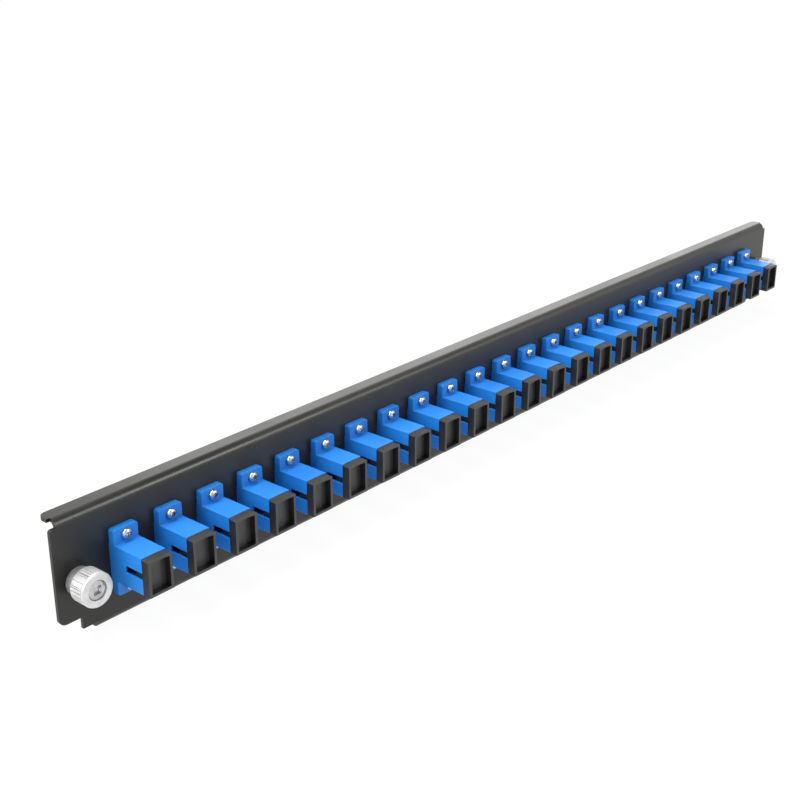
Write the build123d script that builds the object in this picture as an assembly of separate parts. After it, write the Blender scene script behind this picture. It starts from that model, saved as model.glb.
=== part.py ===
from build123d import *
import os

# Splice box front panel: a folded steel front with a row of keyed fibre couplers,
# a dust cap in every port and a captive thumb screw at each end.
# X runs along the panel, -Y points out to the front and Z is up, in millimetres.
# The origin is on the rear face, midway along, at the height of the coupler row.

# Sheet panel
sheet = 1.2
bend_inner_radius = 1.4
top_height = 20.5
bottom_height = 20.2
top_flange_depth = 6.9
bottom_flange_depth = 6.9
end_margin = 24.25
flange_corner_radius = 2.5

# Ends of the panel, where the folds stop
top_fold_setback = 1.0
top_relief_length = 1.2
bottom_fold_setback = 13.4
bottom_relief_width = 0.8
ear_bottom_rise = 6.4
ear_width = 8.0
tab_bottom_rise = 2.4
ear_top_radius = 1.0
ear_bottom_radius = 2.5

# Coupler row
coupler_count = 24
coupler_pitch = 17.1
small_round_sides = 8
small_hole_sides = 6

# Coupler housing
body_width = 9.1
body_height = 12.25
coupler_length = 28.6
nose_length = 12.2
flange_thickness = 2.6
flange_height = 22.0
flange_corner = 0.8
cutout_clearance = 0.2

# Port inside each end of the housing
port_width = 7.4
port_height = 9.1
web_thickness = 1.6
keyway_height = 2.3
keyway_length = 7.8
ferrule_bore_radius = 1.27
sleeve_holder_radius = 2.0
sleeve_holder_recess = 6.0

# Latch hooks beside the sleeve holder
hook_recess = 5.2
hook_width = 4.0
hook_thickness = 0.65
hook_outer_offset = 3.6
hook_lip = 0.6
hook_lip_length = 1.6

# Coupler screws
screw_radius = 1.0
screw_hole_clearance = 0.12
screw_head_radius = 1.7
screw_head_height = 1.3
screw_tip = 1.2

# Dust cap
cap_rim = 3.0
cap_wall = 1.0
cap_floor = 0.5
cap_arch = 0.5
cap_plug_length = 4.0
cap_plug_wall = 0.9
cap_clearance = 0.08

# Thumb screws
thumb_screw_inset = 7.75
thumb_screw_drop = 1.05
knob_radius = 5.5
knob_length = 6.0
knob_gap = 3.5
knob_bevel = 0.5
knob_skirt_wall = 0.9
knob_travel = 2.8
knob_recess_radius = 3.2
knob_recess_depth = 1.2
end_clearance = 0.2
ferrule_fit = 0.1
ferrule_overlap = 0.7
ferrule_shank_radius = 3.6
ferrule_web = 1.2
spring_pocket_radius = 2.9
spring_clearance = 0.15
spring_wire = 0.5
thumb_thread_radius = 1.5
thumb_neck_radius = 1.2
thumb_neck_clearance = 0.08
thumb_thread_length = 7.0
thumb_thread_chamfer = 0.5
thumb_head_clearance = 0.15
thumb_head_height = 0.9

# Places that follow from the sizes
panel_length = (coupler_count - 1) * coupler_pitch + 2 * end_margin
front_face = -sheet
flange_front = front_face - flange_thickness
nose_end = flange_front - nose_length
tail_end = nose_end + coupler_length
coupler_middle = (nose_end + tail_end) / 2
screw_offset = (body_height + flange_height) / 4
bend_outer_radius = bend_inner_radius + sheet
ear_top = top_height - bend_outer_radius
ear_bottom = ear_bottom_rise - bottom_height
thumb_screw_x = panel_length / 2 - thumb_screw_inset
knob_back = front_face - knob_gap
knob_front = knob_back - knob_length
ferrule_end = knob_back - ferrule_overlap
knob_floor = ferrule_end - knob_travel - end_clearance
ferrule_web_front = -ferrule_web
ferrule_radius = knob_radius - knob_skirt_wall - ferrule_fit


def slab(outline, front, back):
    """Extrudes an outline drawn in X and Z between two Y positions."""
    return extrude(Plane.XZ.offset(-back) * outline, amount=back - front)


def turned(points):
    """Revolves a profile of (radius, y) points about the Y axis."""
    profile = make_face(Polyline(*points, close=True))
    return revolve(Plane.XY * profile, axis=Axis.Y)


def small_round(radius, sides=small_round_sides):
    """Outline for the small repeated rounds, by its corner radius."""
    return RegularPolygon(radius=radius, side_count=sides)


def small_bore(radius, sides=small_round_sides):
    """Outline for a small repeated bore, by the radius that fits between its flats."""
    return RegularPolygon(radius=radius, side_count=sides, major_radius=False)


def coupler_positions():
    """X positions of the couplers, from left to right."""
    first = -(coupler_count - 1) * coupler_pitch / 2
    return [first + index * coupler_pitch for index in range(coupler_count)]


def screw_positions():
    """X and Z positions of all the coupler screws."""
    return [(x, z) for x in coupler_positions() for z in (-screw_offset, screw_offset)]


def fold(edge_height, depth, length):
    """One folded edge: the sheet rises to edge_height and turns back by depth."""
    side = 1 if edge_height > 0 else -1
    middle_y = front_face + sheet / 2
    middle_z = edge_height - side * sheet / 2
    path = FilletPolyline(
        (middle_y, 0),
        (middle_y, middle_z),
        (front_face + depth, middle_z),
        radius=bend_inner_radius + sheet / 2,
    )
    section = trace(path, line_width=sheet)
    strip = extrude(Plane.YZ * section, amount=length / 2, both=True)
    back_corners = strip.edges().filter_by(Axis.Z).group_by(Axis.Y)[-1]
    return fillet(back_corners, flange_corner_radius)


def front_sheet():
    """The flat front: an ear at each end, and a tab between the ear and the bottom fold."""
    ears = Pos(0, (ear_top + ear_bottom) / 2) * Rectangle(panel_length, ear_top - ear_bottom)
    ears = fillet(ears.vertices().group_by(Axis.Y)[0], ear_bottom_radius)
    ears = fillet(ears.vertices().group_by(Axis.Y)[-1], ear_top_radius)
    tab_bottom = tab_bottom_rise - bottom_height
    tabs = Pos(0, tab_bottom / 2) * Rectangle(panel_length - 2 * ear_width, -tab_bottom)
    below_bend = Pos(0, -bottom_height) * Rectangle(
        panel_length - 2 * (bottom_fold_setback - bottom_relief_width), 2 * bend_outer_radius
    )
    return slab(ears + tabs - below_bend, front_face, 0)


def top_relief(side):
    """The notch cut out of one end of the top bend, so that the corner folds cleanly."""
    notch = Box(top_relief_length, bend_outer_radius, bend_outer_radius)
    notch_x = side * (panel_length / 2 - top_fold_setback - top_relief_length / 2)
    notch_y = front_face + bend_outer_radius / 2
    return Pos(notch_x, notch_y, top_height - bend_outer_radius / 2) * notch


def front_panel():
    """The folded sheet with its coupler cut-outs and screw holes."""
    panel = front_sheet()
    panel += fold(top_height, top_flange_depth, panel_length - 2 * top_fold_setback)
    panel += fold(-bottom_height, bottom_flange_depth, panel_length - 2 * bottom_fold_setback)
    panel -= [top_relief(side) for side in (-1, 1)]
    cutout = Rectangle(body_width + 2 * cutout_clearance, body_height + 2 * cutout_clearance)
    openings = Sketch() + [Pos(x, 0) * cutout for x in coupler_positions()]
    tapped_hole = small_round(screw_radius, small_hole_sides)
    openings += [Pos(x, z) * tapped_hole for x, z in screw_positions()]
    for side in (-1, 1):
        openings += Pos(side * thumb_screw_x, -thumb_screw_drop) * Circle(ferrule_shank_radius)
    return panel - slab(openings, front_face, 0)


def latch_hook(root, recess_end, side):
    """A flat spring arm on the web with a ramped lip that faces the sleeve holder."""
    outward = 1 if recess_end > root else -1
    outer = side * hook_outer_offset
    inner = side * (hook_outer_offset - hook_thickness)
    lip = side * (hook_outer_offset - hook_thickness - hook_lip)
    lip_back = recess_end - outward * hook_lip_length
    profile = make_face(
        Polyline(
            (root, outer),
            (recess_end, outer),
            (lip_back, lip),
            (lip_back, inner),
            (root, inner),
            close=True,
        )
    )
    return extrude(Plane.YZ * profile, amount=hook_width / 2, both=True)


def coupler():
    """A keyed housing with a port at each end and one sleeve holder through both."""
    flange_outline = chamfer(Rectangle(body_width, flange_height).vertices(), flange_corner)
    body = slab(Rectangle(body_width, body_height), nose_end, tail_end)
    body += slab(flange_outline, flange_front, front_face)
    port = Rectangle(port_width, port_height)
    web_front = coupler_middle - web_thickness / 2
    web_back = coupler_middle + web_thickness / 2
    body -= slab(port, nose_end, web_front)
    body -= slab(port, web_back, tail_end)
    keyway = Pos(-body_width / 2, 0) * Rectangle(body_width - port_width, keyway_height)
    body -= slab(keyway, nose_end, nose_end + keyway_length)
    body -= slab(keyway, tail_end - keyway_length, tail_end)
    holder = small_round(sleeve_holder_radius)
    body += slab(holder, nose_end + sleeve_holder_recess, tail_end - sleeve_holder_recess)
    for side in (-1, 1):
        body += latch_hook(coupler_middle, nose_end + hook_recess, side)
        body += latch_hook(coupler_middle, tail_end - hook_recess, side)
        hole = small_round(screw_radius + screw_hole_clearance, small_hole_sides)
        body -= slab(Pos(0, side * screw_offset) * hole, flange_front, front_face)
    return body - slab(small_bore(ferrule_bore_radius), nose_end, tail_end)


def cap_outline():
    """The rim's outline, with a slightly arched top edge."""
    half_width = body_width / 2
    half_height = body_height / 2
    shoulder = half_height - cap_arch
    sides = Polyline(
        (half_width, shoulder),
        (half_width, -half_height),
        (-half_width, -half_height),
        (-half_width, shoulder),
    )
    top = ThreePointArc((half_width, shoulder), (0, half_height), (-half_width, shoulder))
    return make_face([sides, top])


def dust_cap():
    """A moulded cap: a tray for a rim and a hollow plug that fits the port."""
    rim_front = nose_end - cap_rim
    pocket = Rectangle(body_width - 2 * cap_wall, body_height - 2 * cap_wall - cap_arch)
    cap = slab(cap_outline(), rim_front, nose_end)
    cap -= slab(Pos(0, -cap_arch / 2) * pocket, rim_front, nose_end - cap_floor)
    plug_width = port_width - 2 * cap_clearance
    plug_height = port_height - 2 * cap_clearance
    plug = Rectangle(plug_width, plug_height)
    plug -= Rectangle(plug_width - 2 * cap_plug_wall, plug_height - 2 * cap_plug_wall)
    return cap + slab(plug, nose_end, nose_end + cap_plug_length)


def coupler_screw():
    """A small pan-head screw, through the flange and into the tapped panel."""
    head = slab(small_round(screw_head_radius), flange_front - screw_head_height, flange_front)
    return head + slab(small_round(screw_radius, small_hole_sides), flange_front, screw_tip)


def thumb_knob():
    """A turned knob: a cup behind, over the ferrule, and a screw recess in front."""
    skirt = knob_radius - knob_skirt_wall
    recess = knob_front + knob_recess_depth
    return turned(
        [
            (thumb_thread_radius, recess),
            (knob_recess_radius, recess),
            (knob_recess_radius, knob_front),
            (knob_radius - knob_bevel, knob_front),
            (knob_radius, knob_front + knob_bevel),
            (knob_radius, knob_back - knob_bevel / 2),
            (knob_radius - knob_bevel / 2, knob_back),
            (skirt, knob_back),
            (skirt, knob_floor),
            (thumb_thread_radius, knob_floor),
        ]
    )


def thumb_screw():
    """The captive screw: a flat head in the knob, a slim neck and a threaded end."""
    recess = knob_front + knob_recess_depth
    head_radius = knob_recess_radius - thumb_head_clearance
    neck_front = ferrule_web_front - knob_travel - end_clearance
    tip = thumb_thread_length
    return turned(
        [
            (0, recess - thumb_head_height),
            (head_radius, recess - thumb_head_height),
            (head_radius, recess),
            (thumb_thread_radius, recess),
            (thumb_thread_radius, neck_front),
            (thumb_neck_radius, neck_front),
            (thumb_neck_radius, 0),
            (thumb_thread_radius, 0),
            (thumb_thread_radius, tip - thumb_thread_chamfer),
            (thumb_thread_radius - thumb_thread_chamfer, tip),
            (0, tip),
        ]
    )


def screw_ferrule():
    """The collar pressed into the panel: a spring pocket in front, a web behind."""
    hole_radius = thumb_neck_radius + thumb_neck_clearance
    return turned(
        [
            (hole_radius, ferrule_web_front),
            (spring_pocket_radius, ferrule_web_front),
            (spring_pocket_radius, ferrule_end),
            (ferrule_radius, ferrule_end),
            (ferrule_radius, front_face),
            (ferrule_shank_radius, front_face),
            (ferrule_shank_radius, 0),
            (hole_radius, 0),
        ]
    )


def screw_spring():
    """The envelope of the coil spring between the ferrule's web and the knob."""
    outer = spring_pocket_radius - spring_clearance
    inner = outer - spring_wire
    return turned(
        [
            (inner, knob_floor),
            (outer, knob_floor),
            (outer, ferrule_web_front),
            (inner, ferrule_web_front),
        ]
    )


def save(name, solids):
    """Writes one named sub-part, of one or more solids."""
    shape = solids[0] if len(solids) == 1 else Compound(children=solids)
    export_step(shape, os.path.join("parts", name + ".step"))


def main():
    os.makedirs("parts", exist_ok=True)
    save("front_panel", [front_panel()])
    housing = coupler()
    cap = dust_cap()
    for number, x in enumerate(coupler_positions(), start=1):
        save(f"coupler_{number:02d}", [Pos(x, 0, 0) * housing])
        save(f"dust_cap_{number:02d}", [Pos(x, 0, 0) * cap])
    screw = coupler_screw()
    save("coupler_screws", [Pos(x, 0, z) * screw for x, z in screw_positions()])
    for side, x in (("left", -thumb_screw_x), ("right", thumb_screw_x)):
        place = Pos(x, 0, -thumb_screw_drop)
        save(side + "_thumb_knob", [place * thumb_knob()])
        save(side + "_thumb_screw", [place * thumb_screw()])
        save(side + "_screw_ferrule", [place * screw_ferrule()])
        save(side + "_screw_spring", [place * screw_spring()])


main()
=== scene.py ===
import math

import bmesh
import bpy
from mathutils import Matrix, Vector


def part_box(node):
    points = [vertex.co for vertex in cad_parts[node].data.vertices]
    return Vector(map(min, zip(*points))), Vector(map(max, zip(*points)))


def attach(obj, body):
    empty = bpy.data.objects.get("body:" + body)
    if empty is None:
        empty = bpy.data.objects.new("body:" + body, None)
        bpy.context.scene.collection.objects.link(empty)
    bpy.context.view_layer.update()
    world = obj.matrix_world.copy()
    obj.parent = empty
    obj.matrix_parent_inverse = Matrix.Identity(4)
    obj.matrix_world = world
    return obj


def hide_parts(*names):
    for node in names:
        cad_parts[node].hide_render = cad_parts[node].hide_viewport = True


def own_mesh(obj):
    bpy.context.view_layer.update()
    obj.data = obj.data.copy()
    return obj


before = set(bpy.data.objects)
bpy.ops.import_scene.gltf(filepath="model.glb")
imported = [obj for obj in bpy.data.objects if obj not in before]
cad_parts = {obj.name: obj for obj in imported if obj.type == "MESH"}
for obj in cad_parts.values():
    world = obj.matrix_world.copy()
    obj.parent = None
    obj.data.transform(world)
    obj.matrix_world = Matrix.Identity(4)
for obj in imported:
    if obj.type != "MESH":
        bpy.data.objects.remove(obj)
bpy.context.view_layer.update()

# Camera. It stands to the left of the panel's front and a little above it, and looks
# along the row of couplers with a moderate lens.
MM = 0.001
CAMERA_PLACE = Vector((-408.04, -292.43, 192.99)) * MM
CAMERA_AZIMUTH = math.radians(-49.352)
CAMERA_ELEVATION = math.radians(22.140)
CAMERA_LENS = 59.48
NEAREST_SEEN = 10 * MM

looking = Vector(
    (
        -math.sin(CAMERA_AZIMUTH) * math.cos(CAMERA_ELEVATION),
        math.cos(CAMERA_AZIMUTH) * math.cos(CAMERA_ELEVATION),
        -math.sin(CAMERA_ELEVATION),
    )
)
camera_data = bpy.data.cameras.new("camera")
camera_data.lens = CAMERA_LENS
camera_data.clip_start = NEAREST_SEEN
camera = bpy.data.objects.new("camera", camera_data)
bpy.context.scene.collection.objects.link(camera)
camera.location = CAMERA_PLACE
camera.rotation_mode = "QUATERNION"
camera.rotation_quaternion = looking.to_track_quat("-Z", "Y")
bpy.context.scene.camera = camera


# Sheet panel. One steel sheet, 1.2 mm thick, laser cut, folded back along its top and
# bottom edges and powder coated black. The coat rounds its cut edges a little.
POWDER_COAT = (0.0090, 0.0084, 0.0070, 1)
POWDER_COAT_WORN = (0.0140, 0.0132, 0.0114, 1)
COAT_EDGE = 0.16 * MM
SHARP_ANGLE = math.radians(35)
MERGE_DISTANCE = 0.002 * MM
FLAT_ANGLE = math.radians(1)


class Socket:
    """A value in a material: sums, products and differences add their Math nodes."""

    def __init__(self, finish, link):
        self.finish = finish
        self.link = link

    def maths(self, operation, first, second):
        settings = {"operation": operation}
        return self.finish.node("ShaderNodeMath", settings, {0: first, 1: second})

    def __add__(self, other):
        return self.maths("ADD", self, other)

    def __rsub__(self, other):
        return self.maths("SUBTRACT", other, self)

    def __mul__(self, other):
        return self.maths("MULTIPLY", self, other)

    __radd__ = __add__
    __rmul__ = __mul__


class Finish:
    """A material made of nodes, each named with its settings and what feeds it."""

    def __init__(self, name):
        self.data = bpy.data.materials.new(name)
        self.data.use_nodes = True
        self.tree = self.data.node_tree
        self.surface = self.tree.nodes["Principled BSDF"]

    def feed(self, socket, value):
        if isinstance(value, Socket):
            self.tree.links.new(value.link, socket)
        else:
            socket.default_value = value

    def node(self, kind, settings=None, values=None, output=0):
        """Adds a node, with its settings first and then its sockets' values or links."""
        made = self.tree.nodes.new(kind)
        for name, setting in (settings or {}).items():
            setattr(made, name, setting)
        for name, value in (values or {}).items():
            self.feed(made.inputs[name], value)
        return Socket(self, made.outputs[output])

    def noise(self, scale, detail):
        """Noise that keeps its place on the piece, in noise cells to the metre."""
        place = self.node("ShaderNodeTexCoord", output="Object")
        values = {"Vector": place, "Scale": scale, "Detail": detail}
        return self.node("ShaderNodeTexNoise", {}, values)

    def steps(self, value, low, high):
        """Spreads a value's middle range over 0 to 1."""
        values = {"Value": value, "From Min": low, "From Max": high}
        return self.node("ShaderNodeMapRange", {"clamp": True}, values)

    def mix(self, factor, first, second):
        """Mixes two colours, which are sockets 6 and 7 of a Mix node."""
        values = {0: factor, 6: first, 7: second}
        return self.node("ShaderNodeMix", {"data_type": "RGBA"}, values, output=2)

    def bump(self, height, distance, strength):
        values = {"Height": height, "Distance": distance, "Strength": strength}
        return self.node("ShaderNodeBump", {}, values)

    def surface_of(self, values):
        """Feeds the surface shader and gives back the material."""
        for name, value in values.items():
            self.feed(self.surface.inputs[name], value)
        return self.data


def edit(piece):
    """Makes a piece the only selected one and opens it with all of it selected."""
    bpy.ops.object.select_all(action="DESELECT")
    piece.select_set(True)
    bpy.context.view_layer.objects.active = piece
    bpy.ops.object.mode_set(mode="EDIT")
    bpy.ops.mesh.select_mode(type="VERT")
    bpy.ops.mesh.select_all(action="SELECT")


def close():
    """Ends the editing of the open piece."""
    bpy.ops.object.mode_set(mode="OBJECT")


def apply(piece, kind, **settings):
    """Gives a piece one modifier and applies it."""
    bpy.ops.object.select_all(action="DESELECT")
    piece.select_set(True)
    bpy.context.view_layer.objects.active = piece
    modifier = piece.modifiers.new(kind, kind)
    for name, value in settings.items():
        setattr(modifier, name, value)
    bpy.ops.object.modifier_apply(modifier=modifier.name)


def soften(piece, width):
    """Rounds the piece's sharp edges and shades it."""
    apply(
        piece,
        "BEVEL",
        width=width,
        segments=2,
        limit_method="ANGLE",
        angle_limit=SHARP_ANGLE,
    )
    shade(piece)


def shade(piece):
    """Shades the piece smooth up to its sharp edges, with its flat faces flat."""
    bpy.ops.object.select_all(action="DESELECT")
    piece.select_set(True)
    bpy.context.view_layer.objects.active = piece
    bpy.ops.object.shade_smooth_by_angle(angle=SHARP_ANGLE)
    apply(piece, "WEIGHTED_NORMAL", keep_sharp=True)


def dress(piece, material, body, node):
    """Gives a piece its material and its body, and hides the CAD node that it stands for."""
    piece.data.materials.clear()
    piece.data.materials.append(material)
    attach(piece, body)
    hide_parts(node)


def powder_coat():
    """Black satin powder coat with a fine orange peel and soft changes of tone."""
    coat = Finish("powder_coat")
    peel = coat.noise(scale=1500, detail=1.5)
    cloud = coat.noise(scale=28, detail=3.0)
    tone = coat.steps(cloud, low=0.35, high=0.65)
    return coat.surface_of(
        {
            "Base Color": coat.mix(tone, POWDER_COAT, POWDER_COAT_WORN),
            "Roughness": 0.31 + 0.07 * tone + 0.05 * peel,
            "Normal": coat.bump(peel, distance=0.03 * MM, strength=0.35),
            "Specular IOR Level": 0.46,
        }
    )


panel = bpy.data.objects.new("panel_sheet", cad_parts["front_panel"].data.copy())
bpy.context.scene.collection.objects.link(panel)
edit(panel)
bpy.ops.mesh.customdata_custom_splitnormals_clear()
bpy.ops.mesh.remove_doubles(threshold=MERGE_DISTANCE)
bpy.ops.mesh.dissolve_limited(angle_limit=FLAT_ANGLE)
close()
soften(panel, COAT_EDGE)
dress(panel, powder_coat(), "panel", "front_panel")


# Coupler housings. Blue moulded plastic, keyed on the left, with a port at each end, a
# web across the middle and screw ears that sit flat on the panel's front.
BODY_WIDTH = 9.1 * MM
BODY_HEIGHT = 12.25 * MM
NOSE_LENGTH = 12.2 * MM
FLANGE_THICKNESS = 2.6 * MM
SHEET = 1.2 * MM
PORT_WIDTH = 7.4 * MM
PORT_HEIGHT = 9.1 * MM
WEB_THICKNESS = 1.6 * MM
KEYWAY_HEIGHT = 2.3 * MM
KEYWAY_LENGTH = 7.8 * MM
EAR_CORNER = 0.8 * MM
MOULD_EDGE = 0.168 * MM
TUBE_EDGE = 0.12 * MM
SLEEVE_HOLDER_RADIUS = 2.0 * MM
SLEEVE_BORE_RADIUS = 1.27 * MM
SLEEVE_HOLDER_RECESS = 6.0 * MM
HOOK_RECESS = 5.2 * MM
HOOK_WIDTH = 4.0 * MM
HOOK_THICKNESS = 0.65 * MM
HOOK_OFFSET = 3.6 * MM
HOOK_LIP = 0.6 * MM
HOOK_LIP_LENGTH = 1.6 * MM
HOUSING_BLUE = (0.009, 0.152, 0.51, 1)
HOUSING_BLUE_PALE = (0.013, 0.182, 0.58, 1)
OUT_X = Vector((1, 0, 0))
OUT_Y = Vector((0, 1, 0))
OUT_Z = Vector((0, 0, 1))
TOUCH = 0.01 * MM
FIRST_INSET = 0.1 * MM


def block(name, size, middle):
    """A cube primitive at its size and place, open for editing and all selected."""
    bpy.ops.object.select_all(action="DESELECT")
    bpy.ops.mesh.primitive_cube_add(size=1, location=middle, scale=size)
    bpy.ops.object.transform_apply(location=True, rotation=True, scale=True)
    piece = bpy.context.object
    piece.name = name
    edit(piece)
    return piece


def pick(kind, test):
    """Selects the open piece's vertices, edges or faces that pass a test of their middle."""
    bpy.ops.mesh.select_mode(type=kind)
    bpy.ops.mesh.select_all(action="DESELECT")
    mesh = bmesh.from_edit_mesh(bpy.context.edit_object.data)
    parts = {"VERT": mesh.verts, "EDGE": mesh.edges, "FACE": mesh.faces}[kind]
    for part in parts:
        corners = [part.co] if kind == "VERT" else [corner.co for corner in part.verts]
        if test(sum(corners, Vector()) / len(corners), part):
            part.select_set(True)
    mesh.select_flush_mode()
    bmesh.update_edit_mesh(bpy.context.edit_object.data)


def near(first, second):
    return abs(first - second) < TOUCH


def cut(place, direction):
    """Cuts the open piece's faces along a plane, and keeps both sides."""
    bpy.ops.mesh.select_all(action="SELECT")
    bpy.ops.mesh.bisect(plane_co=place, plane_no=direction)


def push(x=0, y=0, z=0):
    """Extrudes what is selected as one region."""
    bpy.ops.mesh.extrude_region_move(TRANSFORM_OT_translate={"value": (x, y, z)})


def scale(factors, middle):
    bpy.ops.transform.resize(value=factors, center_override=middle)


def inset_to(width, height, middle):
    """Insets the selected rectangle on an end face to a new width and height."""
    mesh = bmesh.from_edit_mesh(bpy.context.edit_object.data)
    corners = [corner.co for face in mesh.faces if face.select for corner in face.verts]
    old_width = max(c.x for c in corners) - min(c.x for c in corners)
    old_height = max(c.z for c in corners) - min(c.z for c in corners)
    bpy.ops.mesh.inset(thickness=FIRST_INSET)
    width_now = old_width - 2 * FIRST_INSET
    height_now = old_height - 2 * FIRST_INSET
    scale((width / width_now, 1, height / height_now), middle)


def carve(piece, cutter):
    """Cuts the cutter's shape out of a piece and removes the cutter."""
    apply(piece, "BOOLEAN", operation="DIFFERENCE", solver="EXACT", object=cutter)
    bpy.data.objects.remove(cutter)


def weld(piece, other):
    """Makes one solid of two that touch and removes the second."""
    apply(piece, "BOOLEAN", operation="UNION", solver="EXACT", object=other)
    bpy.data.objects.remove(other)


def rod(name, radius, front, back):
    """A cylinder primitive along Y between two places, open for editing."""
    bpy.ops.object.select_all(action="DESELECT")
    bpy.ops.mesh.primitive_cylinder_add(
        vertices=32,
        radius=radius,
        depth=back - front,
        location=(0, (front + back) / 2, 0),
        rotation=(math.pi / 2, 0, 0),
    )
    bpy.ops.object.transform_apply(location=True, rotation=True, scale=True)
    piece = bpy.context.object
    piece.name = name
    edit(piece)
    return piece


def copy_at(piece, name, place, turn=0):
    """A copy with its own mesh, turned about its own axis and moved to its place."""
    made = bpy.data.objects.new(name, piece.data.copy())
    made.data.transform(Matrix.Translation(place) @ Matrix.Rotation(turn, 4, "Y"))
    bpy.context.scene.collection.objects.link(made)
    return made


front_face = -SHEET
flange_front = front_face - FLANGE_THICKNESS
nose_end = flange_front - NOSE_LENGTH
tail_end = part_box("coupler_01")[1].y
coupler_middle = (nose_end + tail_end) / 2
ear_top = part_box("coupler_01")[1].z


def open_port(end, outward):
    """Sinks the rectangular port from one end face down to the web."""
    web_face = coupler_middle + outward * WEB_THICKNESS / 2
    pick("FACE", lambda m, face: near(m.y, end))
    inset_to(PORT_WIDTH, PORT_HEIGHT, (0, end, 0))
    push(y=web_face - end)


def latch_hook(end, outward, side):
    """One spring arm beside the sleeve holder, with a ramped lip at its tip."""
    tip = end - outward * HOOK_RECESS
    length = abs(tip - coupler_middle)
    middle = (0, (coupler_middle + tip) / 2, side * (HOOK_OFFSET - HOOK_THICKNESS / 2))
    hook = block("latch_hook", (HOOK_WIDTH, length, HOOK_THICKNESS), middle)
    lip_back = tip - outward * HOOK_LIP_LENGTH
    cut((0, lip_back, 0), OUT_Y)
    inner = side * (HOOK_OFFSET - HOOK_THICKNESS)
    pick("FACE", lambda m, face: near(m.z, inner) and (m.y - lip_back) * outward > 0)
    push(z=-side * HOOK_LIP)
    pick("VERT", lambda m, corner: near(m.z, inner - side * HOOK_LIP) and near(m.y, tip))
    bpy.ops.transform.translate(value=(0, -outward * HOOK_LIP, 0))
    close()
    return hook


def housing():
    """The moulded body: ears, an open port at each end, keyways and latch hooks."""
    length = tail_end - nose_end
    body = block("housing", (BODY_WIDTH, length, BODY_HEIGHT), (0, coupler_middle, 0))
    cut((0, flange_front, 0), OUT_Y)
    cut((0, front_face, 0), OUT_Y)
    half_width, half_height = BODY_WIDTH / 2, BODY_HEIGHT / 2
    for side in (1, -1):
        pick(
            "FACE",
            lambda m, face: flange_front < m.y < front_face and near(m.z, side * half_height),
        )
        push(z=side * (ear_top - half_height))
    pick("EDGE", lambda m, edge: near(abs(m.z), ear_top) and near(abs(m.x), half_width))
    bpy.ops.mesh.bevel(offset=EAR_CORNER, segments=4, affect="EDGES")
    open_port(nose_end, -1)
    open_port(tail_end, 1)
    close()
    wall = (BODY_WIDTH - PORT_WIDTH) / 2
    for end in (nose_end, tail_end):
        size = (2 * wall, 2 * KEYWAY_LENGTH, KEYWAY_HEIGHT)
        slot = block("keyway", size, (-half_width, end, 0))
        close()
        carve(body, slot)
    for end, outward in ((nose_end, -1), (tail_end, 1)):
        for side in (1, -1):
            weld(body, latch_hook(end, outward, side))
    soften(body, MOULD_EDGE)
    return body


def sleeve_holder():
    """The tube that holds the alignment sleeve, through the web to both ports."""
    front = nose_end + SLEEVE_HOLDER_RECESS
    back = tail_end - SLEEVE_HOLDER_RECESS
    tube = rod("sleeve_holder", SLEEVE_HOLDER_RADIUS, front, back)
    close()
    bore = rod("bore", SLEEVE_BORE_RADIUS, front - MM, back + MM)
    close()
    carve(tube, bore)
    soften(tube, TUBE_EDGE)
    return tube


def moulded_blue():
    """Satin blue moulded plastic with a faint mould texture."""
    plastic = Finish("moulded_blue")
    grain = plastic.noise(scale=2200, detail=2.0)
    cloud = plastic.steps(plastic.noise(scale=60, detail=2.0), low=0.35, high=0.65)
    return plastic.surface_of(
        {
            "Base Color": plastic.mix(cloud, HOUSING_BLUE, HOUSING_BLUE_PALE),
            "Roughness": 0.38 + 0.08 * cloud,
            "Normal": plastic.bump(grain, distance=0.01 * MM, strength=0.3),
            "Specular IOR Level": 0.42,
        }
    )


def joined(name, pieces):
    """Joins objects into the first and names it."""
    bpy.ops.object.select_all(action="DESELECT")
    for piece in pieces:
        piece.select_set(True)
    bpy.context.view_layer.objects.active = pieces[0]
    bpy.ops.object.join()
    pieces[0].name = name
    return pieces[0]


housing_blue = moulded_blue()
first_housing = joined("first_housing", [housing(), sleeve_holder()])
coupler_places = {}
for node in sorted(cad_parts):
    if node.startswith("coupler_") and node[-2:].isdigit():
        low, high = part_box(node)
        coupler_places[node[-2:]] = Vector(((low.x + high.x) / 2, 0, 0))
for number, place in coupler_places.items():
    copy = copy_at(first_housing, "housing_" + number, place)
    dress(copy, housing_blue, "panel", "coupler_" + number)
bpy.data.objects.remove(first_housing)


# Dust caps. Black soft moulded caps: a tray-like rim with an arched top, and behind it
# a hollow plug that holds in the port. Each one pulls out to the front.
CAP_RIM = 3.0 * MM
CAP_WALL = 1.0 * MM
CAP_FLOOR = 0.5 * MM
CAP_ARCH = 0.5 * MM
CAP_PLUG_LENGTH = 4.0 * MM
CAP_PLUG_WALL = 0.9 * MM
CAP_CLEARANCE = 0.08 * MM
CAP_EDGE = 0.14 * MM
CAP_BLACK = (0.0060, 0.0060, 0.0061, 1)
CAP_BLACK_PALE = (0.0100, 0.0100, 0.0102, 1)
# Painted light: the paler colour painted on the caps' faces that face the front.
CAP_FRONT_LIT = (0.0240, 0.0240, 0.0242, 1)
ARCH_CUTS = 8


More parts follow.
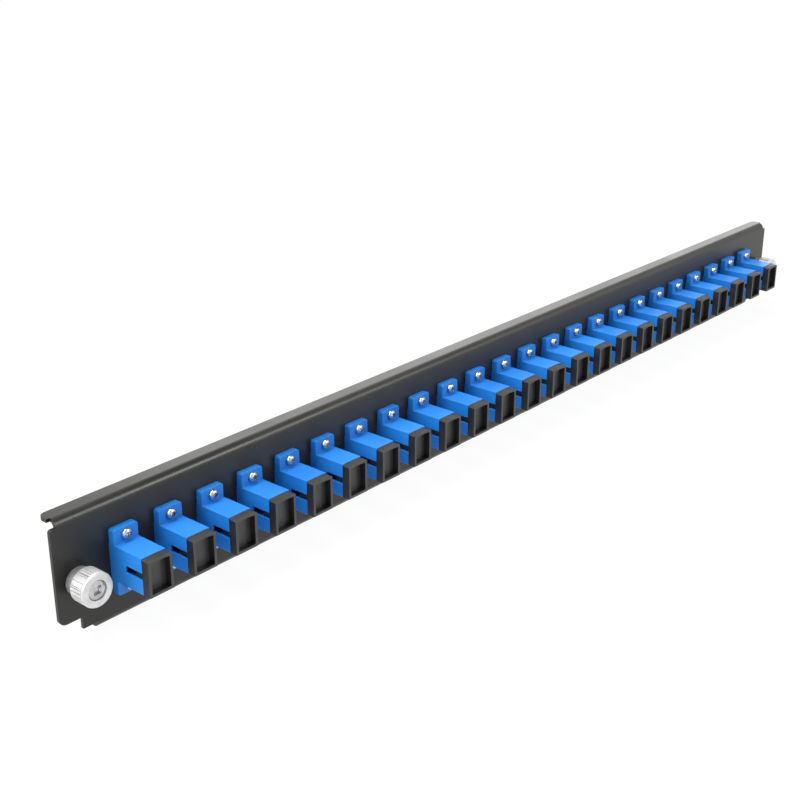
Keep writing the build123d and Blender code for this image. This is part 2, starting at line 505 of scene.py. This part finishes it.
def dust_cap():
    """The cap: a sunk tray in front, a hollow plug behind and an arched top."""
    rim_front = nose_end - CAP_RIM
    size = (BODY_WIDTH, CAP_RIM, BODY_HEIGHT)
    cap = block("dust_cap", size, (0, (rim_front + nose_end) / 2, 0))
    pick("FACE", lambda m, face: near(m.y, rim_front))
    bpy.ops.mesh.inset(thickness=CAP_WALL)
    push(y=CAP_RIM - CAP_FLOOR)
    pick("FACE", lambda m, face: near(m.y, nose_end))
    plug = (PORT_WIDTH - 2 * CAP_CLEARANCE, PORT_HEIGHT - 2 * CAP_CLEARANCE)
    inset_to(*plug, (0, nose_end, 0))
    push(y=CAP_PLUG_LENGTH)
    bpy.ops.mesh.inset(thickness=CAP_PLUG_WALL)
    push(y=-CAP_PLUG_LENGTH)
    for index in range(1, ARCH_CUTS):
        cut((BODY_WIDTH * (index / ARCH_CUTS - 0.5), 0, 0), OUT_X)
    mesh = bmesh.from_edit_mesh(cap.data)
    top_wall = BODY_HEIGHT / 2 - CAP_WALL - TOUCH
    for corner in mesh.verts:
        if corner.co.z > top_wall and corner.co.y < nose_end + TOUCH:
            corner.co.z -= CAP_ARCH * (2 * corner.co.x / BODY_WIDTH) ** 2
    bmesh.update_edit_mesh(cap.data)
    close()
    soften(cap, CAP_EDGE)
    return cap


def moulded_black():
    """Matt black soft plastic, a little dusty, with painted light that makes it paler where it
    faces the front.
    """
    plastic = Finish("moulded_black")
    grain = plastic.noise(scale=1800, detail=3.0)
    dust = plastic.steps(plastic.noise(scale=150, detail=3.0), low=0.4, high=0.7)
    facing = plastic.node("ShaderNodeTexCoord", output="Normal")
    facing = plastic.node("ShaderNodeSeparateXYZ", {}, {"Vector": facing}, output="Y")
    # Painted light: faces that face the front are painted paler, as if lit from the front.
    painted_front_light = plastic.steps(0 - facing, low=0.7, high=0.95)
    black = plastic.mix(dust, CAP_BLACK, CAP_BLACK_PALE)
    return plastic.surface_of(
        {
            "Base Color": plastic.mix(painted_front_light, black, CAP_FRONT_LIT),
            "Roughness": 0.44 + 0.12 * dust,
            "Normal": plastic.bump(grain, distance=0.012 * MM, strength=0.3),
            "Specular IOR Level": 0.62,
        }
    )


cap_black = moulded_black()
first_cap = dust_cap()
for number, place in coupler_places.items():
    copy = copy_at(first_cap, "cap_" + number, place)
    dress(copy, cap_black, "cap_" + number, "dust_cap_" + number)
bpy.data.objects.remove(first_cap)


# Coupler screws. Small bright pan-head screws with a cross recess, two to a coupler,
# driven through its ears into the tapped panel. Each one stopped at its own angle.
SCREW_HEAD_RADIUS = 1.7 * MM
SCREW_HEAD_HEIGHT = 1.3 * MM
SCREW_HEAD_WALL = 0.585 * MM
DOME_STEPS = (0.25, 0.5, 0.75, 0.9)
SCREW_RADIUS = 1.0 * MM
SCREW_THREAD_PITCH = 0.4 * MM
SCREW_THREAD_DEPTH = 0.14 * MM
CROSS_WIDTH = 0.5 * MM
CROSS_REACH = 0.98 * MM
CROSS_DEPTH = 0.85 * MM
CROSS_TAPER = 0.6
ALONG = 0.9
TURN_STEP = math.radians(37)
AXIS_RADIUS = MERGE_DISTANCE / 4
NICKEL = (0.60, 0.60, 0.61, 1)
NICKEL_DULL = (0.40, 0.40, 0.41, 1)


def turned(name, profile, sides):
    """Draws a ring and extrudes it through a profile of radius and Y, as on a lathe.
    A radius of 0 closes an end; a profile that returns to its start is a tube."""
    bpy.ops.object.select_all(action="DESELECT")
    radius, y = profile[0]
    start = max(radius, AXIS_RADIUS)
    bpy.ops.mesh.primitive_circle_add(
        vertices=sides,
        radius=start,
        location=(0, y, 0),
        rotation=(math.pi / 2, 0, 0),
    )
    bpy.ops.object.transform_apply(location=True, rotation=True, scale=True)
    piece = bpy.context.object
    piece.name = name
    edit(piece)
    for next_radius, next_y in profile[1:]:
        push(y=next_y - y)
        wanted = max(next_radius, AXIS_RADIUS)
        scale((wanted / start, 1, wanted / start), (0, next_y, 0))
        start, y = wanted, next_y
    bpy.ops.mesh.select_all(action="SELECT")
    bpy.ops.mesh.remove_doubles(threshold=MERGE_DISTANCE)
    bpy.ops.mesh.normals_make_consistent(inside=False)
    close()
    return piece


def cross_cutter(width, reach, front, depth):
    """A cross-shaped punch that narrows towards its tip. Its arms are pushed out of the
    faces whose normals lie along them."""
    cutter = block("cross", (width, 2 * depth, width), (0, front, 0))
    for axis in (OUT_X, OUT_Z):
        for side in (1, -1):
            arm = side * axis
            pick("FACE", lambda m, face: face.normal.dot(arm) > ALONG and m.dot(arm) > 0)
            push(*(arm * (reach - width / 2)))
    pick("FACE", lambda m, face: near(m.y, front + depth))
    scale((CROSS_TAPER, 1, CROSS_TAPER), (0, front + depth, 0))
    close()
    return cutter


def pan_screw(tip):
    """One screw: a domed head, a threaded shank and a cross recess."""
    base = flange_front
    front = base - SCREW_HEAD_HEIGHT
    rim = base - SCREW_HEAD_WALL
    profile = [(0, front)]
    for share in DOME_STEPS:
        rise = (rim - front) * math.sqrt(1 - share * share)
        profile.append((SCREW_HEAD_RADIUS * share, rim - rise))
    profile.append((SCREW_HEAD_RADIUS, rim))
    profile.append((SCREW_HEAD_RADIUS, base))
    profile.append((SCREW_RADIUS, base))
    place = front_face
    while place + SCREW_THREAD_PITCH < tip:
        profile.append((SCREW_RADIUS - SCREW_THREAD_DEPTH, place))
        profile.append((SCREW_RADIUS, place + SCREW_THREAD_PITCH / 2))
        place += SCREW_THREAD_PITCH
    profile.append((SCREW_RADIUS - SCREW_THREAD_DEPTH, tip))
    profile.append((0, tip))
    screw = turned("coupler_screw", profile, sides=24)
    carve(screw, cross_cutter(CROSS_WIDTH, CROSS_REACH, front, CROSS_DEPTH))
    shade(screw)
    return screw


def plated_steel(name, bright, dull, roughness, metallic=1.0):
    """Plated steel, a little uneven and duller in patches."""
    steel = Finish(name)
    grain = steel.noise(scale=1600, detail=2.0)
    patch = steel.steps(steel.noise(scale=420, detail=3.0), low=0.35, high=0.7)
    return steel.surface_of(
        {
            "Base Color": steel.mix(patch, bright, dull),
            "Metallic": metallic,
            "Roughness": roughness + 0.14 * patch,
            "Normal": steel.bump(grain, distance=0.01 * MM, strength=0.3),
        }
    )


first_screw = pan_screw(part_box("coupler_screws")[1].y)
screw_offset = (BODY_HEIGHT / 2 + ear_top) / 2
screws = []
for place in coupler_places.values():
    for side in (1, -1):
        name = f"screw_{len(screws) + 1:02d}"
        spot = place + side * screw_offset * OUT_Z
        screws.append(copy_at(first_screw, name, spot, turn=TURN_STEP * len(screws)))
bpy.data.objects.remove(first_screw)
coupler_screws = joined("screws_of_couplers", screws)
nickel = plated_steel("nickel_plate", NICKEL, NICKEL_DULL, roughness=0.2)
dress(coupler_screws, nickel, "panel", "coupler_screws")


# Thumb screws. A knurled, nickel-bright knob is pressed onto a cross-recess screw. The
# screw slides and turns in a ferrule that is pressed into the panel, against a spring.
KNOB_RADIUS = 5.5 * MM
KNOB_BEVEL = 0.5 * MM
KNOB_BEVEL_MIDDLE = 0.15 * MM
KNOB_SKIRT_WALL = 0.9 * MM
KNOB_TEETH = 42
KNOB_KNURL_MARGIN = 0.45 * MM
KNOB_KNURL_DEPTH = 0.35 * MM
KNOB_KNURL_INSET = 0.04 * MM
KNOB_GROOVE_DEPTH = 0.25 * MM
KNOB_GROOVE_WIDTH = 0.3 * MM
KNOB_RECESS_EDGE = 0.15 * MM
KNOB_RECESS_RADIUS = 3.2 * MM
KNOB_RECESS_DEPTH = 1.2 * MM
HEAD_HEIGHT = 0.9 * MM
HEAD_CLEARANCE = 0.15 * MM
HEAD_FLAT_MARGIN = 0.5 * MM
HEAD_EDGE = 0.12 * MM
HEAD_CROWN = 0.4 * MM
THUMB_RADIUS = 1.5 * MM
THUMB_NECK_RADIUS = 1.2 * MM
THUMB_PITCH = 0.5 * MM
THUMB_THREAD_DEPTH = 0.22 * MM
THUMB_TIP_TAPER = 0.484 * MM
FERRULE_WEB = 1.2 * MM
FERRULE_SHANK_RADIUS = 3.6 * MM
FERRULE_EDGE = 0.2 * MM
POCKET_RADIUS = 2.9 * MM
NECK_CLEARANCE = 0.08 * MM
END_CLEARANCE = 0.2 * MM
KNOB_TRAVEL = 2.8 * MM
SPRING_CLEARANCE = 0.15 * MM
SPRING_WIRE = 0.5 * MM
SPRING_TURNS = 7
KNOB_SILVER = (0.61, 0.61, 0.61, 1)
KNOB_SILVER_DULL = (0.49, 0.49, 0.49, 1)
FERRULE_GREY = (0.33, 0.33, 0.33, 1)
FERRULE_GREY_DULL = (0.22, 0.22, 0.22, 1)
SPRING_GREY = (0.40, 0.40, 0.39, 1)
CROSS_OF_THUMB_SCREW = (0.75 * MM, 1.7 * MM, 1.0 * MM)

knob_front, knob_back = (corner.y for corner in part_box("left_thumb_knob"))
knob_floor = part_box("left_screw_spring")[0].y
thumb_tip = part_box("left_thumb_screw")[1].y
low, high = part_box("left_screw_ferrule")
ferrule_end = low.y
ferrule_radius = (high.x - low.x) / 2
recess_floor = knob_front + KNOB_RECESS_DEPTH


def knob():
    """The turned knob: knurled round its side, with a plain bevelled rim in front."""
    skirt = KNOB_RADIUS - KNOB_SKIRT_WALL
    knurl_front = knob_front + KNOB_BEVEL + KNOB_KNURL_MARGIN
    knurl_back = knob_back - KNOB_BEVEL / 2 - KNOB_KNURL_MARGIN / 2
    profile = [
        (THUMB_RADIUS, recess_floor),
        (KNOB_RECESS_RADIUS, recess_floor),
        (KNOB_RECESS_RADIUS, knob_front + KNOB_RECESS_EDGE),
        (KNOB_RECESS_RADIUS + KNOB_RECESS_EDGE, knob_front),
        (KNOB_RADIUS - KNOB_BEVEL, knob_front),
        (KNOB_RADIUS - KNOB_BEVEL_MIDDLE, knob_front + KNOB_BEVEL_MIDDLE),
        (KNOB_RADIUS, knob_front + KNOB_BEVEL),
        (KNOB_RADIUS, knurl_front - KNOB_GROOVE_WIDTH),
        (KNOB_RADIUS - KNOB_GROOVE_DEPTH, knurl_front - KNOB_GROOVE_WIDTH / 2),
        (KNOB_RADIUS, knurl_front),
        (KNOB_RADIUS, knurl_back),
        (KNOB_RADIUS, knob_back - KNOB_BEVEL / 2),
        (KNOB_RADIUS - KNOB_BEVEL / 2, knob_back),
        (skirt, knob_back),
        (skirt, knob_floor),
        (THUMB_RADIUS, knob_floor),
        (THUMB_RADIUS, recess_floor),
    ]
    piece = turned("knob", profile, sides=3 * KNOB_TEETH)
    edit(piece)
    step = 2 * math.pi / (3 * KNOB_TEETH)

    def groove(middle, face):
        """True for every third face of the band round the knob's side."""
        around = math.atan2(middle.z, middle.x) % (2 * math.pi)
        outside = math.hypot(middle.x, middle.z) > (skirt + KNOB_RADIUS) / 2
        in_band = knurl_front < middle.y < knurl_back
        return outside and in_band and int(around / step) % 3 == 0

    pick("FACE", groove)
    bpy.ops.mesh.inset(
        use_individual=True,
        thickness=KNOB_KNURL_INSET,
        depth=-KNOB_KNURL_DEPTH,
    )
    close()
    shade(piece)
    return piece


def thumb_screw():
    """The screw: a flat cross-recess head, a slim neck and a fine thread."""
    head = KNOB_RECESS_RADIUS - HEAD_CLEARANCE
    head_front = recess_floor - HEAD_HEIGHT
    neck_front = -FERRULE_WEB - KNOB_TRAVEL - END_CLEARANCE
    profile = [
        (0, head_front),
        (head - HEAD_FLAT_MARGIN, head_front),
        (head - HEAD_EDGE, head_front + HEAD_EDGE),
        (head, head_front + HEAD_CROWN),
        (head, recess_floor),
        (THUMB_RADIUS, recess_floor),
        (THUMB_RADIUS, neck_front),
        (THUMB_NECK_RADIUS, neck_front),
        (THUMB_NECK_RADIUS, 0),
    ]
    place = 0
    while place + 2 * THUMB_PITCH < thumb_tip:
        profile.append((THUMB_RADIUS - THUMB_THREAD_DEPTH, place))
        profile.append((THUMB_RADIUS, place + THUMB_PITCH / 2))
        place += THUMB_PITCH
    profile.append((THUMB_RADIUS - THUMB_THREAD_DEPTH, place))
    profile.append((THUMB_RADIUS - THUMB_TIP_TAPER, thumb_tip))
    profile.append((0, thumb_tip))
    screw = turned("thumb_screw", profile, sides=48)
    width, reach, depth = CROSS_OF_THUMB_SCREW
    carve(screw, cross_cutter(width, reach, head_front, depth))
    shade(screw)
    return screw


def ferrule():
    """The collar: pressed through the panel, with a pocket in front for the spring."""
    hole = THUMB_NECK_RADIUS + NECK_CLEARANCE
    profile = [
        (hole, -FERRULE_WEB),
        (POCKET_RADIUS, -FERRULE_WEB),
        (POCKET_RADIUS, ferrule_end),
        (ferrule_radius - FERRULE_EDGE, ferrule_end),
        (ferrule_radius, ferrule_end + FERRULE_EDGE),
        (ferrule_radius, front_face - FERRULE_EDGE),
        (ferrule_radius - FERRULE_EDGE, front_face),
        (FERRULE_SHANK_RADIUS, front_face),
        (FERRULE_SHANK_RADIUS, -FERRULE_EDGE),
        (FERRULE_SHANK_RADIUS - FERRULE_EDGE, 0),
        (hole, 0),
        (hole, -FERRULE_WEB),
    ]
    piece = turned("ferrule", profile, sides=64)
    shade(piece)
    return piece


def spring():
    """The coil: a small ring swept round and along the axis by a screw modifier."""
    wire = SPRING_WIRE / 2
    coil_radius = POCKET_RADIUS - SPRING_CLEARANCE - wire
    length = -FERRULE_WEB - knob_floor - SPRING_WIRE
    bpy.ops.object.select_all(action="DESELECT")
    bpy.ops.mesh.primitive_circle_add(
        vertices=10,
        radius=wire,
        location=(coil_radius, knob_floor + wire, 0),
    )
    bpy.ops.object.transform_apply(location=True, rotation=True, scale=True)
    coil = bpy.context.object
    apply(
        coil,
        "SCREW",
        axis="Y",
        angle=2 * math.pi,
        screw_offset=length / SPRING_TURNS,
        iterations=SPRING_TURNS,
        steps=28,
        render_steps=28,
    )
    edit(coil)
    bpy.ops.mesh.select_mode(type="EDGE")
    bpy.ops.mesh.select_all(action="DESELECT")
    bpy.ops.mesh.select_non_manifold()
    bpy.ops.mesh.edge_face_add()
    bpy.ops.mesh.select_all(action="SELECT")
    bpy.ops.mesh.normals_make_consistent(inside=False)
    close()
    shade(coil)
    return coil


knob_silver = plated_steel(
    "knob_plate", KNOB_SILVER, KNOB_SILVER_DULL, roughness=0.36, metallic=0.45
)
ferrule_grey = plated_steel(
    "ferrule_plate", FERRULE_GREY, FERRULE_GREY_DULL, roughness=0.4, metallic=0.5
)
spring_grey = plated_steel("spring_steel", SPRING_GREY, NICKEL_DULL, roughness=0.3)
first_parts = {
    "thumb_knob": ("knob", knob(), knob_silver, "bright_knob"),
    "thumb_screw": ("screw", thumb_screw(), nickel, "bright_knob"),
    "screw_ferrule": ("ferrule", ferrule(), ferrule_grey, "bright_steel"),
    "screw_spring": ("spring", spring(), spring_grey, "spring_steel"),
}
for side in ("left", "right"):
    low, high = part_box(side + "_thumb_knob")
    place = Vector(((low.x + high.x) / 2, 0, (low.z + high.z) / 2))
    for node, (name, first, material, slot) in first_parts.items():
        copy = copy_at(first, f"{side}_{name}_piece", place)
        body = side + "_screw" if name in ("knob", "screw") else "panel"
        dress(copy, material, body, side + "_" + node)
        if name == "spring":
            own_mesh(copy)
for name, first, material, slot in first_parts.values():
    bpy.data.objects.remove(first)


# Floor and lights. A white floor under the panel, soft lamps above it, in front and at
# its left, and one behind it whose gloss lies along the folded edge. The room is pale,
# with a dark ceiling for the fold to mirror.
FLOOR_SIZE = 8.0
FLOOR_WHITE = (0.9, 0.9, 0.9, 1)
SHADOW_SHARE = 0.06
ROOM_GREY = (0.42, 0.42, 0.42, 1)
CEILING_GREY = (0.02, 0.02, 0.02, 1)
CEILING_EDGE = (0.64, 0.82)
WHITE = (1, 1, 1, 1)


class Room(Finish):
    """The world's nodes, made in the same way as a finish."""

    def __init__(self, name):
        self.data = bpy.data.worlds.new(name)
        self.data.use_nodes = True
        self.tree = self.data.node_tree
        self.surface = self.tree.nodes["Background"]


bpy.context.scene.view_settings.view_transform = "Standard"
bpy.ops.object.select_all(action="DESELECT")
bpy.ops.mesh.primitive_plane_add(size=FLOOR_SIZE, location=(0, 0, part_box("front_panel")[0].z))
floor = bpy.context.object
floor.name = "floor"
paper = Finish("floor_paper")
paper.surface_of({"Base Color": FLOOR_WHITE, "Roughness": 1.0, "Specular IOR Level": 0.0})
looked_at = paper.node("ShaderNodeLightPath", output="Is Camera Ray")
mirrored = paper.node("ShaderNodeLightPath", output="Is Glossy Ray")
glow = paper.node("ShaderNodeEmission", {}, {"Color": WHITE, "Strength": 1.0})
lit = Socket(paper, paper.surface.outputs[0])
seen = (looked_at + mirrored) * (1 - SHADOW_SHARE)
mixed = paper.node("ShaderNodeMixShader", {}, {0: seen, 1: lit, 2: glow})
paper.feed(paper.tree.nodes["Material Output"].inputs[0], mixed)
floor.data.materials.append(paper.data)

room = Room("room")
bpy.context.scene.world = room.data
direction = room.node("ShaderNodeTexCoord", output="Generated")
height = room.node("ShaderNodeSeparateXYZ", {}, {"Vector": direction}, output="Z")
walls = room.mix(room.steps(height, *CEILING_EDGE), WHITE, CEILING_GREY)
mirrored = room.node("ShaderNodeLightPath", output="Is Glossy Ray")
looked_at = room.node("ShaderNodeLightPath", output="Is Camera Ray")
seen = room.mix(looked_at, room.mix(mirrored, ROOM_GREY, walls), WHITE)
room.surface_of({"Color": seen, "Strength": 1.0})


def lamp(name, place, size, power):
    """A soft square lamp that faces the middle of the panel."""
    data = bpy.data.lights.new(name, "AREA")
    data.shape = "SQUARE"
    data.size = size
    data.energy = power
    made = bpy.data.objects.new(name, data)
    bpy.context.scene.collection.objects.link(made)
    made.location = place
    made.rotation_mode = "QUATERNION"
    made.rotation_quaternion = (-Vector(place)).to_track_quat("-Z", "Y")


lamp("top_lamp", (-0.3, 0.25, 1.35), size=1.0, power=25)
lamp("front_lamp", (0.62, -1.07, 0.61), size=0.5, power=9)
lamp("left_lamp", (-1.5, 0.3, 0.9), size=1.0, power=21)
lamp("back_lamp", (1.68, 1.32, 0.71), size=1.5, power=13)
